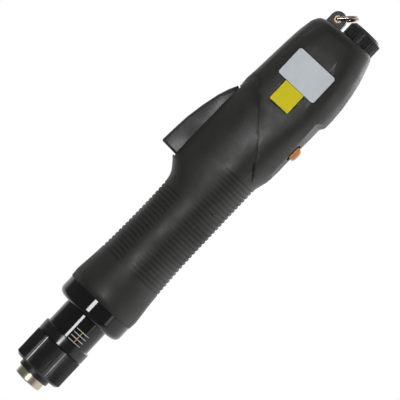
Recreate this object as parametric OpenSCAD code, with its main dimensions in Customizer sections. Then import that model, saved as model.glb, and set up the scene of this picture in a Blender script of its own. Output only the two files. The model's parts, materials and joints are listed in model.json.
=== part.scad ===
// Electric torque screwdriver, lever start, for production assembly.
// Origin: mouth of the bit socket on the spindle axis. +Z runs up the tool to the hanger,
// -Y is the label side, -X carries the start lever and +X the reverse knob.

/* [Chuck] */
// Length of the chuck sleeve that shows under the nose bush
chuck_show = 5.1; // [4.6:0.1:6]
// Radius of the chuck sleeve
chuck_r = 8.6; // [8.3:0.1:8.9]
// Height of the top of the chuck sleeve
chuck_top = 14; // [13.4:0.1:14.6]
// Distance that the chuck sleeve slides up to free the bit
chuck_travel = 2.5; // [2.2:0.1:2.8]
// Width across the flats of the bit socket
socket_af = 6.35; // [6:0.05:6.6]
// Depth of the bit socket
socket_depth = 18; // [14:0.5:18.5]
// Radius of the balls that hold the bit
chuck_ball_r = 1.5; // [1.3:0.05:1.6]
// Height of the balls above the mouth of the socket
chuck_ball_z = 9.5; // [9.2:0.1:9.8]
// Radius of the output spindle
spindle_r = 6; // [5.8:0.05:6.2]
// Outer radius of the clips on the spindle
clip_r = 7.2; // [7:0.05:7.3]
// Thickness of a clip
clip_t = 1; // [0.8:0.05:1.1]
// Depth of a clip's groove in the spindle
clip_groove = 0.7; // [0.5:0.05:0.9]
// Wire thickness of the chuck spring
chuck_wire = 0.8; // [0.6:0.05:0.9]
// Length of the chuck spring at rest
chuck_spring_len = 5.6; // [5.2:0.1:6]
// Turns of the chuck spring
chuck_turns = 3; // [2:1:3]

/* [Torque collar] */
// Radius of the nose bush
bush_r = 10; // [9.8:0.1:11]
// Length of the nose bush that shows under the collar
bush_show = 3.4; // [2.8:0.1:4.5]
// Radius of the torque collar
collar_r = 15.7; // [15.5:0.1:16.5]
// Length of the torque collar
collar_len = 19.1; // [18.6:0.1:20]
// Thickness of the wall that closes the collar's lower end
collar_floor = 2.5; // [2:0.1:2.8]
// Length of the threaded stretch inside the collar
collar_thread = 13; // [11:0.5:13.5]
// Length of the lock ring on the collar
lock_len = 6.8; // [6:0.1:8]
// Height of the lip where the lock ring sits over the collar
lock_lip = 2.2; // [1.5:0.1:3]
// Number of grooves in the collar's knurl
knurl_count = 72; // [48:4:90]
// Depth of the knurl
knurl_depth = 0.35; // [0.2:0.05:0.5]
// Bevel at the collar's ends
collar_bevel = 1.4; // [0.8:0.1:1.8]
// Rise of the collar for one turn
collar_pitch = 1.5; // [1:0.1:1.5]
// Turns of the collar from low to high torque
collar_turns = 5; // [3:1:5]

/* [Scale sleeve] */
// Radius of the scale sleeve
scale_r = 14.4; // [14.2:0.05:14.5]
// Length of the scale sleeve that shows above the collar
scale_show = 15.8; // [15:0.1:17]
// Radius of the thread under the scale
thread_r = 12.4; // [12:0.1:12.8]
// Radius of the spring chamber
chamber_r = 10.4; // [10.2:0.05:10.5]
// Radius of the flange that the coupling ring clamps
flange_r = 19.6; // [19:0.1:19.8]
// Thickness of that flange
flange_t = 3.5; // [3:0.1:4]
// Wall of the gear cup on top of the flange
cup_wall = 1.6; // [1.3:0.1:1.65]

/* [Clutch] */
// Thickness of the spring seat's floor
seat_floor = 2.5; // [2:0.1:3]
// Inner radius of the spring seat's tube
seat_bore_r = 8.9; // [8.85:0.05:9]
// Outer radius of the spindle bush
spindle_bush_r = 7.9; // [7.4:0.1:8]
// Wire thickness of the clutch spring
clutch_wire = 1.3; // [1:0.1:1.4]
// Turns of the clutch spring
clutch_turns = 5; // [3:1:5]
// Thickness of the clutch cam
cam_t = 3.5; // [3:0.1:3.7]
// Radius of the clutch balls
clutch_ball_r = 2; // [1.8:0.05:2.1]
// Radius of the circle of clutch balls
clutch_ball_pcr = 7.6; // [7.5:0.05:7.7]
// Depth that a clutch ball sinks into each plate
clutch_pocket = 0.75; // [0.6:0.05:0.9]
// Radius of the drive plate
drive_plate_r = 9.4; // [9.2:0.05:9.5]
// Thickness of the drive plate
drive_plate_t = 2.7; // [2.2:0.1:2.8]

/* [Gears] */
// Tooth module of the planetary stage
gear_module = 0.55; // [0.54:0.005:0.56]
// Teeth on the sun gear
sun_teeth = 12; // [12:12:12]
// Teeth on each planet gear
planet_teeth = 18; // [18:18:18]
// Face width of the gears
gear_w = 7; // [6:0.1:8]
// Radius of the planet pins
planet_pin_r = 1.5; // [1.2:0.05:1.8]
// Thickness of the carrier
carrier_t = 3; // [2.6:0.1:3.4]
// Radius of the carrier
carrier_r = 12; // [11:0.1:12.4]
// Outer radius of the spindle bearing
bearing_r = 10.5; // [10.2:0.05:11]
// Width of the spindle bearing
bearing_w = 5; // [4:0.1:5.4]
// Thickness of the cover over the gears
gear_cover_t = 2.2; // [1.8:0.1:3]

/* [Motor] */
// Outer radius of the motor
motor_r = 16.8; // [16.2:0.1:17.2]
// Length of the motor's can
motor_len = 52; // [50:0.5:56]
// Wall of the can
can_wall = 1; // [0.8:0.05:1.2]
// Radius of the motor shaft
shaft_r = 2.5; // [2.2:0.05:2.7]
// Radius of the rotor
rotor_r = 8.4; // [8:0.1:8.7]
// Radial air gap between rotor and stator
air_gap = 0.5; // [0.3:0.05:0.7]
// Length of the stator stack
stack_len = 30; // [26:0.5:32]
// Teeth of the stator
stator_teeth = 9; // [9:3:9]
// Outer radius of a motor bearing
motor_bearing_r = 6.5; // [6:0.1:7]
// Width of a motor bearing
motor_bearing_w = 4; // [3.5:0.1:4.5]

/* [Coupling ring] */
// Radius of the coupling ring
ring_r = 22; // [21.8:0.1:22.6]
// Length of the coupling ring
ring_len = 11.2; // [10.8:0.1:12]
// Rounding of its lower edge
ring_round = 4; // [2.5:0.1:4.5]
// Thickness of its floor under the flange
ring_floor = 2.8; // [2.4:0.1:3.2]

/* [Grip] */
// Radius of the grip's middle
grip_r = 20.2; // [20:0.1:20.8]
// Radius where the grip swells above the coupling ring
swell_r = 22.7; // [22.3:0.1:23.2]
// Wall of the housing
wall = 2.2; // [2:0.05:2.3]
// Height of the first groove above the coupling ring
groove_start = 24.3; // [22:0.1:26]
// Distance from one groove to the next
groove_pitch = 2.7; // [2.6:0.05:2.75]
// Width of a groove
groove_w = 1.4; // [1:0.05:1.6]
// Depth of a groove
groove_depth = 0.6; // [0.3:0.05:0.8]
// Number of grooves on the lever side
grooves_lever = 19; // [10:1:19]
// Number of grooves on the switch side
grooves_switch = 30; // [20:1:30]
// Half angle of the smooth band along the label side
band_angle = 20.5; // [14:0.5:28]

/* [Head] */
// Height of the lever's lower edge above the coupling ring
lever_start = 89.6; // [88:0.2:91]
// Reach of the housing on the lever side
lever_reach = 27.6; // [27:0.1:28.2]
// Height of the head above the lever's lower edge
head_len = 114.4; // [112:0.2:117]
// Reach of the head's shoulder on the switch side
shoulder_reach = 25.2; // [24.6:0.1:25.8]
// Distance from the axis to the flat of the reverse knob
knob_flat = 22.1; // [21.8:0.1:22.4]
// Depth of the head from its middle to the label face
head_depth = 20.9; // [20.6:0.1:21.3]
// Rise of the head's top from the axis to a unit of reach
top_slope = 0.065; // [0:0.005:0.08]
// Slant of the facet along the diagonal crease
crease_slant = 0.8; // [0.4:0.1:1.2]

/* [Lever] */
// Thickness of the lever
lever_w = 16; // [14:0.2:17]
// Distance from the axis to the lever's lowest outer corner
lever_out = 36.9; // [35.5:0.1:38]
// Length of the lever that shows
lever_len = 52.4; // [50:0.2:54]
// Radius of the rounding along the lever's edges
lever_round = 1.8; // [1:0.1:2.5]
// Angle that the lever swings in when pressed
lever_angle = 5; // [3:0.5:5]
// Distance from the axis to the lever's pin
lever_pin_x = 20.3; // [20:0.1:20.6]
// Radius of the lever's pin
lever_pin_r = 1.25; // [1:0.05:1.4]
// Width of the lever's hub on its pin
lever_hub_w = 8; // [7:0.2:9]
// Wire thickness of the lever's spring
lever_wire = 0.7; // [0.5:0.05:0.8]
// Radius of the start switch's plunger
plunger_r = 1.6; // [1.2:0.05:1.9]

/* [Reverse knob] */
// Height of the knob's middle above the lever's lower edge
knob_mid = 46.2; // [45:0.2:47.4]
// Height of the knob
knob_h = 7.9; // [7:0.1:8.4]
// Width of the knob
knob_w = 11; // [9:0.2:12]
// Distance that the knob stands out of its flat
knob_out = 2.9; // [2:0.1:3.4]
// Travel of the knob to each side of its middle
knob_travel = 2; // [1.5:0.1:2.2]

/* [Plates] */
// Width of the name plate
plate_w = 26.8; // [24:0.2:28]
// Height of the name plate
plate_h = 18.9; // [17:0.1:20]
// Distance from the top down to the name plate's lower edge
plate_down = 41.5; // [40:0.1:43]
// Corner radius of the name plate
plate_corner = 1.6; // [0.8:0.1:2.2]
// Side of the square accent plate
accent_side = 13.6; // [12:0.1:14]
// Thickness of both plates
plate_t = 0.4; // [0.3:0.05:0.5]
// Depth of the seat that the plates lie in
plate_seat = 0.75; // [0.6:0.05:0.9]

/* [Cable inlet and hanger] */
// Distance of the inlet's centre from the axis
inlet_x = 6.3; // [5.8:0.1:6.6]
// Radius of the ribbed ring
inlet_ring_r = 10.7; // [10.3:0.1:11]
// Height of the ribbed ring
inlet_ring_h = 9.6; // [9:0.1:10.5]
// Radius of the inlet's barrel
inlet_r = 8.2; // [7.8:0.1:8.6]
// Wall of the inlet's barrel
inlet_wall = 1.2; // [1:0.05:1.4]
// Depth of the open socket over the insulator
inlet_mouth = 7.6; // [7:0.1:8.4]
// Number of contacts
inlet_pins = 6; // [4:1:7]
// Number of ribs on the ribbed ring
inlet_ribs = 32; // [24:2:36]
// Distance of the hanger's eye from the axis
eye_x = 11.2; // [10.9:0.1:11.5]
// Radius of the hanger's rounded lug
lug_r = 4.8; // [4.4:0.1:4.9]
// Thickness of the lug
lug_t = 6; // [5:0.1:7]
// Height of the eye above the seat of the lug
eye_rise = 5; // [4.8:0.1:6]
// Outer radius of the eyelet
eyelet_r = 2.25; // [2:0.05:2.5]
// Wire radius of the bail
bail_wire_r = 1.2; // [1:0.05:1.3]
// Reach of the bail from the eye
bail_reach = 11; // [10:0.1:11.6]
// Lean of the bail from upright at rest
bail_lean = 43; // [38:1:45]
// Angle that the bail can swing back over
bail_swing = 125; // [90:5:130]

/* [Fasteners] */
// Radius of a housing screw's shank
screw_r = 1.3; // [1.1:0.05:1.5]
// Radius of a housing screw's head
screw_head_r = 2.4; // [2.1:0.05:2.5]
// Radius of a screw boss
boss_r = 3.9; // [3.7:0.1:4.1]

/* [Clearances] */
// Radial clearance of a running fit
run_fit = 0.06; // [0.04:0.01:0.08]
// Gap beside a part that sits in a moulded seat
seat_fit = 0.1; // [0.08:0.01:0.15]
// Gap round a part that moves in a slot
slot_gap = 0.35; // [0.3:0.05:0.4]

/* [Hidden] */
$fn = 64;
eps = 0.01;
far = 400;

// Heights along the tool
z_bush = chuck_show;
z_collar = z_bush + bush_show;
z_lock = z_collar + collar_len;
z_scale = z_lock + lock_len;
z_ring = z_scale + scale_show;
z_grip = z_ring + ring_len;
z_lever = z_grip + lever_start;
z_top = z_lever + head_len;
z_plate = z_top - plate_down;
knob_switch_x = grip_r - wall - 0.6;
knob_switch_deep = 6.4;
knob_switch_len = 22;
z_knob = z_lever + knob_mid;

// Nose stack
collar_rise = collar_pitch * collar_turns;
z_seat = z_collar + collar_floor;
z_thread_top = z_seat + collar_thread;
z_sleeve = z_seat + collar_rise + slot_gap;
z_step = z_thread_top + collar_rise + slot_gap;
z_flange = z_ring + ring_floor;
z_cup = z_flange + flange_t;

// Clutch and gear stack, from the spindle bearing down and up
z_bearing = z_flange - bearing_w / 2;
z_lip = z_bearing - 1;
z_drive = z_lip - slot_gap - drive_plate_t;
z_cam = z_drive - 2 * (clutch_ball_r - clutch_pocket) - cam_t;
seat_len = chuck_top + chuck_travel + chuck_spring_len - z_seat + seat_floor + 1;
z_seat_top = z_seat + seat_len;
z_carrier = z_cup + 1;
z_gears = z_carrier + carrier_t + slot_gap;
z_gear_cover = z_gears + gear_w + slot_gap;
z_motor = z_gear_cover + gear_cover_t;
z_motor_top = z_motor + motor_len;
z_stack = z_motor + (motor_len - stack_len) / 2;
z_clip = chuck_top + chuck_spring_len;

ring_teeth = sun_teeth + 2 * planet_teeth;
planet_pcr = gear_module * (sun_teeth + planet_teeth) / 2;
ring_gear_r = gear_module * ring_teeth / 2 + 2.8;
cup_r = ring_gear_r + cup_wall;
neck_r = flange_r;
spline_af = spindle_r * 1.8;
pilot_r = spindle_r / 2;
hex_r = socket_af / 2 / cos(30);
chuck_bore_r = spindle_r + run_fit;
relief_z = chuck_ball_z - chuck_travel;

// Housing stations
grip_pts = 28;
head_pts = 36;
z_groove = z_grip + groove_start;
z_pin = z_lever + lever_len + 2.2;
z_flare = z_lever - 15;
z_shoulder = z_lever + 71.2;
// Crease over the label side, from the lever side down to the switch side
crease = [[-40, z_lever + 82], [-18.2, z_lever + 62], [14.4, z_lever + 25.2], [19, z_lever + 23],
    [20, z_lever + 15], [40, z_lever + 15]];
screw_spots = [[-17.6, z_top - 28.5], [16.8, z_top - 28.5], [14.6, z_lever + 21.4],
    [-15.2, z_lever - 9.6], [14.2, z_lever - 9.6]];
board_w = 20;
board_t = 1.6;
board_y = -board_t / 2;
board_z = z_lever - 7;
board_len = 84;
board_posts = [for (x = [-1, 1], z = [0, 1])
    [x * (board_w / 2 - 2), board_z + 3 + z * (board_len - 6)]];
start_z = z_lever + 15;
switch_w = 8;
switch_x = -19.4;
plunger_stub = 2;
plunger_travel = (z_pin - start_z) * sin(lever_angle);
start_posts = [for (z = [-1, 1]) [-15, start_z + 7 * z]];
knob_posts = [for (z = [-1, 1]) [15.2, z_knob + 8 * z]];

// ---------- Shared functions ----------

function signed_pow(v, p) = sign(v) * pow(abs(v), p);

// Index of the table row below height z
function row_below(rows, z, i = 0) =
    i >= len(rows) - 2 || z < rows[i + 1][0] ? i : row_below(rows, z, i + 1);

function row_slope(rows, i, k) = i == 0 || i == len(rows) - 1 ? 0
    : (rows[i + 1][k] - rows[i - 1][k]) / (rows[i + 1][0] - rows[i - 1][0]);

// Column k of the table at height z, on a smooth curve through the rows
function curve(rows, z, k) = let (
    i = row_below(rows, z),
    h = rows[i + 1][0] - rows[i][0],
    u = min(1, max(0, (z - rows[i][0]) / h)),
    a = rows[i][k],
    b = rows[i + 1][k],
    m = row_slope(rows, i, k) * h,
    n = row_slope(rows, i + 1, k) * h
) a + u * (m + u * (3 * (b - a) - 2 * m - n + u * (2 * (a - b) + m + n)));

// One ring of the housing. rows: height, lever reach, switch reach, depth, squareness
function body_ring(rows, z, inset, points, grooved = [false, false]) = let (
    left = curve(rows, z, 1) - inset,
    right = curve(rows, z, 2) - inset,
    deep = curve(rows, z, 3) - inset,
    power = 2 / curve(rows, z, 4),
    tilt = top_slope * min(1, max(0, (z - z_shoulder) / (z_top - z_shoulder)))
) [for (j = [0 : points - 1]) let (
    c = cos(360 * j / points),
    s = sin(360 * j / points),
    ribbed = grooved[c < 0 ? 0 : 1] && abs(s) < cos(band_angle),
    cut = ribbed ? groove_depth : 0,
    x = ((c < 0 ? left : right) - cut) * signed_pow(c, power)
) [x, (deep - cut) * signed_pow(s, power), z + tilt * x]];

// Solid through a list of rings that run anticlockwise seen from the last one
module loft(rings) {
    n = len(rings[0]);
    m = len(rings);
    polyhedron(
        points = [for (ring = rings) each ring],
        faces = concat(
            [[for (j = [0 : n - 1]) j]],
            [[for (j = [n - 1 : -1 : 0]) (m - 1) * n + j]],
            [for (i = [0 : m - 2], j = [0 : n - 1]) let (
                a = i * n + j,
                b = i * n + (j + 1) % n
            ) each [[a, a + n, b], [b, a + n, b + n]]]
        )
    );
}

// Involute flank point at radius r, as an angle from the tooth's middle line
function inv(a) = tan(a) * 180 / PI - a;
function flank_angle(r, teeth, thin) = let (
    pitch_r = gear_module * teeth / 2,
    base_r = pitch_r * cos(25)
) 90 / teeth - thin / pitch_r * 90 / PI + inv(25) - inv(acos(min(1, base_r / r)));

// Outline of a gear, with its tooth's addendum and dedendum in modules
function gear_outline(teeth, add, ded, thin) = let (
    pitch_r = gear_module * teeth / 2,
    base_r = pitch_r * cos(25),
    tip_r = pitch_r + add * gear_module,
    root_r = pitch_r - ded * gear_module,
    low_r = max(root_r, base_r),
    radii = [for (k = [0 : 3]) low_r + (tip_r - low_r) * k / 3]
) [for (t = [0 : teeth - 1]) let (mid = 360 * t / teeth) each concat(
    root_r < base_r ? [root_r * dir(mid - flank_angle(low_r, teeth, thin))] : [],
    [for (r = radii) r * dir(mid - flank_angle(r, teeth, thin))],
    [for (k = [3 : -1 : 0]) radii[k] * dir(mid + flank_angle(radii[k], teeth, thin))],
    root_r < base_r ? [root_r * dir(mid + flank_angle(low_r, teeth, thin))] : []
)];

function dir(a) = [cos(a), sin(a)];

module ring_shape(outer, inner, h) {
    difference() {
        cylinder(r = outer, h = h);
        translate([0, 0, -1]) cylinder(r = inner, h = h + 2);
    }
}

// Coil spring along +Z from 0 to len, with flat end turns
module coil(mean_r, wire, len, turns, sides = 5, steps = 14) {
    count = (turns + 1) * steps;
    rise = len - wire;
    rings = [for (i = [0 : count]) let (
        a = 360 * i / steps,
        u = min(1, max(0, (i / steps - 0.5) / turns)),
        z = wire / 2 + rise * u
    ) [for (k = [0 : sides - 1]) let (
        b = -360 * k / sides,
        r = mean_r + wire / 2 * cos(b)
    ) [r * cos(a), r * sin(a), z + wire / 2 * sin(b)]]];
    loft(rings);
}

// Lays a shape drawn in x and z flat on the XZ plane, centred on y = 0
module upright(w) {
    translate([0, w / 2, 0]) rotate([90, 0, 0]) linear_extrude(w) children();
}

// Round bar along Y
module cross_bar(x, z, r, w) {
    translate([x, 0, z]) rotate([90, 0, 0]) cylinder(r = r, h = w, center = true);
}

// ---------- Housing ----------

// Rows of height, lever reach, switch reach, depth and squareness
grip_rows = [
    [z_grip, swell_r - 0.35, swell_r - 0.35, swell_r - 0.35, 2],
    [z_grip + 5, swell_r, swell_r, swell_r, 2],
    [z_grip + 14, (swell_r + grip_r) / 2 + 0.3, (swell_r + grip_r) / 2 + 0.3,
        (swell_r + grip_r) / 2 + 0.3, 2],
    [z_groove, grip_r + 0.8, grip_r + 0.8, grip_r + 0.8, 2],
    [z_groove + 22, grip_r, grip_r, grip_r, 2],
    [z_flare, grip_r, grip_r, grip_r, 2],
    [z_flare + 6, grip_r + 1.3, grip_r, grip_r, 2],
    [z_lever - 3.6, lever_reach - 2.2, grip_r, grip_r, 2.05],
    [z_lever - 1, lever_reach, grip_r, grip_r, 2.1],
    [z_lever + 20, lever_reach, grip_r, grip_r, 2.2],
    [z_lever + 52, lever_reach - 0.9, grip_r, grip_r, 2.2],
    [z_shoulder + 2, lever_reach - 3.4, grip_r, grip_r - 1, 2.2]
];
head_rows = [
    [z_lever + 15, lever_reach - 1, grip_r - 0.4, grip_r - 0.3, 2.1],
    [z_lever + 20, lever_reach - 0.4, grip_r + 0.9, grip_r + 0.1, 2.15],
    [z_lever + 27, lever_reach - 0.2, knob_flat + 0.9, grip_r + 0.3, 2.3],
    [z_lever + 42, lever_reach - 0.3, knob_flat + 1.1, head_depth - 0.4, 2.6],
    [z_lever + 52, lever_reach - 0.6, shoulder_reach - 1.5, head_depth - 0.2, 2.9],
    [z_lever + 61, lever_reach - 1.8, shoulder_reach - 0.6, head_depth, 3],
    [z_shoulder, lever_reach - 2.5, shoulder_reach, head_depth, 3.1],
    [z_lever + 85.5, lever_reach - 3.4, shoulder_reach - 0.8, head_depth, 3.1],
    [z_top - 13, lever_reach - 4.6, shoulder_reach - 3.8, head_depth - 0.8, 3],
    [z_top - 6, lever_reach - 5.8, shoulder_reach - 6, head_depth - 2.2, 2.9],
    [z_top - 2.4, lever_reach - 7.4, shoulder_reach - 7.2, head_depth - 4, 2.8],
    [z_top - 0.7, lever_reach - 9, shoulder_reach - 8, head_depth - 5.6, 2.8],
    [z_top, lever_reach - 11, shoulder_reach - 8.8, head_depth - 7.4, 2.8]
];

groove_count = max(grooves_lever, grooves_switch);
// Stations of the lower body: height, then whether each side is grooved there
grip_stations = concat(
    [for (k = [0 : 4]) [z_grip + k * groove_start / 5, [false, false]]],
    [for (i = [0 : groove_count - 1], k = [0 : 2])
        [z_groove + i * groove_pitch + k * groove_w / 2,
            [k == 1 && i < grooves_lever, k == 1 && i < grooves_switch]]],
    [for (k = [1 : 5]) let (z_last = z_groove + groove_count * groove_pitch)
        [z_last + k * (z_shoulder + 2 - z_last) / 5, [false, false]]]
);
head_stations = concat([for (k = [0 : 11]) z_lever + 15 + k * (z_top - 6 - z_lever - 15) / 11],
    [z_top - 4.2, z_top - 2.4, z_top - 1.2, z_top - 0.4, z_top]);

module lower_body() {
    loft([for (s = grip_stations) body_ring(grip_rows, s[0], 0, grip_pts, s[1])]);
}

// Half space above the crease on the label side, with a slanted facet along it
module above_crease() {
    multmatrix([[1, 0, 0, 0], [0, 1, 0, 0], [0, -crease_slant, 1, -crease_slant * (grip_r - 2)]])
        translate([0, 1, 0]) rotate([90, 0, 0]) linear_extrude(40)
            polygon(concat(crease, [[40, far], [-40, far]]));
}

module head_body() {
    intersection() {
        loft([for (z = head_stations) body_ring(head_rows, z, 0, head_pts)]);
        above_crease();
    }
}

// Room inside the two shells
module body_room() {
    z_join = z_shoulder - 2;
    below = [z_grip + wall, z_grip + 5, z_grip + 14, z_groove + 4, z_groove + 22, z_flare, z_flare + 6,
        z_lever - 3, z_lever, z_lever + 25, z_lever + 52, z_join];
    loft([for (z = below) body_ring(grip_rows, z, wall, grip_pts)]);
    loft([for (k = [0 : 5]) body_ring(head_rows,
        z_join - eps + k * (z_top - wall - z_join) / 5, wall, head_pts)]);
}

// Moulded post along Y, thinner at its tip than at its root
module post(spot, tip_y, r) {
    translate([spot[0], -tip_y, spot[1]]) rotate([90, 0, 0]) hull() {
        cylinder(r = r, h = eps, $fn = 8);
        translate([0, 0, head_depth]) cylinder(r = r * 1.08, h = eps, $fn = 8);
    }
}

// Rib that holds a round part on the axis
module saddle(z, r, x = 0) {
    translate([x, 0, z]) ring_shape(2 * grip_r, r, 2, $fn = grip_pts);
}

// Label-side half of the pair, without its own cuts
module half_shell() {
    intersection() {
        union() {
            lower_body();
            head_body();
            translate([0, 0, z_cup]) cylinder(r = neck_r, h = z_grip - z_cup + 1, $fn = grip_pts);
        }
        translate([-60, -60, 0]) cube([120, 60, far]);
        union() {
            difference() {
                translate([-60, -60, 0]) cube([120, 61, far]);
                body_room();
                translate([0, 0, z_cup - 1])
                    cylinder(r = cup_r + seat_fit + 0.07, h = z_grip + wall - z_cup + 2, $fn = grip_pts);
            }
            saddle(z_motor + 4, motor_r + seat_fit);
            saddle(z_motor_top - 8, motor_r + seat_fit);
            for (spot = screw_spots) post(spot, 0, boss_r);
            for (spot = start_posts) post(spot, switch_w / 2 + seat_fit, 2);
            for (spot = knob_posts) post(spot, switch_w / 2 + seat_fit, 2);
            for (spot = board_posts) post(spot, board_t / 2 + seat_fit, 2);
            post([-lever_pin_x, z_pin], lever_hub_w / 2 + slot_gap, 2.6);
            saddle(z_top - 17, inlet_r + seat_fit, inlet_x);
        }
    }
}

// Slot that the lever swings in
module lever_slot() {
    upright(lever_w + 2 * slot_gap) polygon([[-60, z_lever - 2.6], [-17.5, z_lever - slot_gap],
        [-17.5, z_pin - 7], [-lever_pin_x - 1.2, z_pin - 3.2], [-lever_pin_x - 4.7, z_pin - 1.6],
        [-60, z_pin + 0.8]]);
}

// Flat, slot and stops for the reverse knob
module knob_cut() {
    upright(60) polygon([[knob_flat, z_lever + 27.5], [knob_flat, z_shoulder - 5],
        [knob_flat + 4, z_shoulder - 1], [60, z_shoulder - 1], [60, z_lever + 24.5]]);
    translate([12, -knob_w / 2 - slot_gap + 2, z_knob - knob_h / 2 - knob_travel - slot_gap + 1])
        cube([20, knob_w + 2 * slot_gap - 4, knob_h + 2 * (knob_travel + slot_gap) - 2]);
}

module inlet_hole() {
    translate([inlet_x, 0, z_top - 8]) cylinder(r = inlet_r + seat_fit, h = 20, $fn = 40);
    translate([inlet_x, 0, z_top + 0.3])
        cylinder(r = inlet_ring_r + slot_gap, h = 20, $fn = 40);
}

// Hole for the hanger lug's stem
module lug_hole() {
    translate([-eye_x, 0, z_top])
        cube([2 * (lug_r + seat_fit), lug_t + 2 * seat_fit, 4 * wall], center = true);
}

module common_cuts() {
    lever_slot();
    knob_cut();
    inlet_hole();
    lug_hole();
    cross_bar(-lever_pin_x, z_pin, lever_pin_r + run_fit + 0.02, pin_len() + 2 * seat_fit, $fn = 16);
}

function pin_len() = 2 * (lever_hub_w / 2 + slot_gap + 5);

module housing_front() {
    color([0.16, 0.16, 0.15]) difference() {
        half_shell();
        common_cuts();
        // Pilot holes of the screws
        for (spot = screw_spots) translate([spot[0], eps, spot[1]]) rotate([90, 0, 0])
            cylinder(r = screw_r + run_fit, h = 13, $fn = 16);
        // Seats of the two plates
        plate_seats();
    }
}

module plate_seats() {
    z_low = z_plate - accent_side - 0.3;
    translate([0, -head_depth - 2 + plate_seat, 0]) {
        upright_slab(plate_w + 0.6, z_plate - 0.2, plate_h + 0.5, 4);
        upright_slab(accent_side + 0.6, z_low, accent_side + 0.4, 4);
    }
}

// Slab w wide from height z up, its outer and inner faces t apart, centred on y = 0
module upright_slab(w, z, h, t) {
    translate([-w / 2, -t / 2, z]) cube([w, t, h]);
}

module housing_back() {
    color([0.16, 0.16, 0.15]) difference() {
        mirror([0, 1, 0]) half_shell();
        common_cuts();
        for (spot = screw_spots) translate([spot[0], 0, spot[1]]) rotate([-90, 0, 0]) {
            translate([0, 0, -eps]) cylinder(r = screw_r + run_fit, h = 30, $fn = 16);
            translate([0, 0, screw_seat_y]) cylinder(r = screw_head_r + 2 * seat_fit, h = 30, $fn = 20);
        }
    }
}

screw_seat_y = 6;

module housing_screws() {
    color([0.35, 0.35, 0.36]) for (spot = screw_spots)
        translate([spot[0], screw_seat_y, spot[1]]) rotate([-90, 0, 0]) difference() {
            union() {
                cylinder(r = screw_head_r, h = 1.9);
                translate([0, 0, -screw_seat_y - 11]) cylinder(r = screw_r, h = screw_seat_y + 11 + eps);
            }
            for (a = [0, 90]) rotate([0, 0, a]) translate([-1.4, -0.3, 1])
                cube([2.8, 0.6, 2]);
        }
}

// ---------- Coupling ring and scale sleeve ----------

module coupling_ring() {
    color([0.05, 0.05, 0.05]) rotate_extrude() difference() {
        union() {
            translate([ring_r - ring_round, z_ring + ring_round]) circle(r = ring_round);
            translate([scale_r + 2 * seat_fit, z_ring])
                square([ring_r - ring_round - scale_r - 2 * seat_fit, ring_len]);
            translate([scale_r + 2 * seat_fit, z_ring + ring_round])
                square([ring_r - scale_r - 2 * seat_fit, ring_len - ring_round]);
        }
        translate([0, z_flange]) square([neck_r + 2 * seat_fit, ring_len]);
        translate([0, z_ring - 1]) square([scale_r + 2 * seat_fit, ring_len]);
    }
}

module scale_sleeve() {
    color([0.06, 0.06, 0.06]) rotate_extrude() polygon([
        [chamber_r, z_sleeve], [thread_r - 0.6, z_sleeve], [thread_r, z_sleeve + 0.6],
        [thread_r, z_step], [scale_r, z_step], [scale_r, z_flange], [flange_r, z_flange],
        [flange_r, z_cup], [cup_r, z_cup], [cup_r, z_gear_cover], [ring_gear_r, z_gear_cover],
        [ring_gear_r, z_cup], [bearing_r, z_cup], [bearing_r, z_bearing],
        [drive_plate_r + 0.3, z_bearing], [drive_plate_r + 0.3, z_lip], [chamber_r, z_lip]]);
}

// ---------- Torque collar ----------

module torque_collar() {
    knurl_pts = [for (i = [0 : knurl_count - 1], k = [0, 1])
        (collar_r - (k == 0 ? 0 : knurl_depth)) * dir(360 * (i + k / 2) / knurl_count)];
    color([0.09, 0.09, 0.09]) intersection() {
        rotate_extrude() polygon([
            [spigot_r(), z_collar], [collar_r - collar_bevel, z_collar],
            [collar_r + 0.2, z_collar + collar_bevel + 0.2],
            [collar_r + 0.2, z_lock - 0.7], [collar_r - 0.5, z_lock],
            [lip_r(), z_lock], [lip_r(), z_lock + lock_lip], [scale_r + run_fit, z_lock + lock_lip],
            [scale_r + run_fit, z_thread_top], [thread_r + run_fit, z_thread_top],
            [thread_r + run_fit, z_seat], [spigot_r(), z_seat]]);
        translate([0, 0, z_collar - 1]) linear_extrude(collar_len + lock_lip + 2)
            polygon(knurl_pts);
    }
}

function spigot_r() = bush_r - 0.5;
function lip_r() = (scale_r + run_fit + collar_r) / 2;

module lock_ring() {
    color([0.07, 0.07, 0.07]) rotate_extrude() polygon([
        [lip_r(), z_lock], [collar_r - 0.5, z_lock], [collar_r, z_lock + 0.5],
        [collar_r, z_scale - 0.4], [collar_r - 0.4, z_scale], [scale_r + run_fit, z_scale],
        [scale_r + run_fit, z_lock + lock_lip], [lip_r(), z_lock + lock_lip]]);
}

module nose_bush() {
    color([0.05, 0.05, 0.05]) rotate_extrude() polygon([
        [chuck_r + run_fit, z_bush], [bush_r - 0.4, z_bush], [bush_r, z_bush + 0.4],
        [bush_r, z_collar], [spigot_r(), z_collar], [spigot_r(), z_seat],
        [chuck_r + run_fit, z_seat]]);
}

// ---------- Chuck and spindle ----------

module chuck_sleeve() {
    shelf = clip_low() + clip_t + 0.1;
    color([0.78, 0.74, 0.62]) rotate_extrude() polygon([
        [clip_r + 0.15, 0.3], [chuck_r - 0.5, 0.3], [chuck_r, 0.8],
        [chuck_r, chuck_top], [chuck_bore_r, chuck_top],
        [chuck_bore_r, relief_z + chuck_ball_r], [clip_r, relief_z + chuck_ball_r - 0.9],
        [clip_r, relief_z - chuck_ball_r], [chuck_bore_r, relief_z - chuck_ball_r - 0.4],
        [chuck_bore_r, shelf], [clip_r + 0.15, shelf]]);
}

function clip_low() = 1.2;

module spindle_clips() {
    color([0.45, 0.45, 0.47]) for (z = [clip_low(), z_clip]) translate([0, 0, z]) difference() {
        ring_shape(clip_r, spindle_r - clip_groove, clip_t);
        translate([0, -1.5, -1]) cube([20, 3, clip_t + 2]);
    }
}

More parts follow.
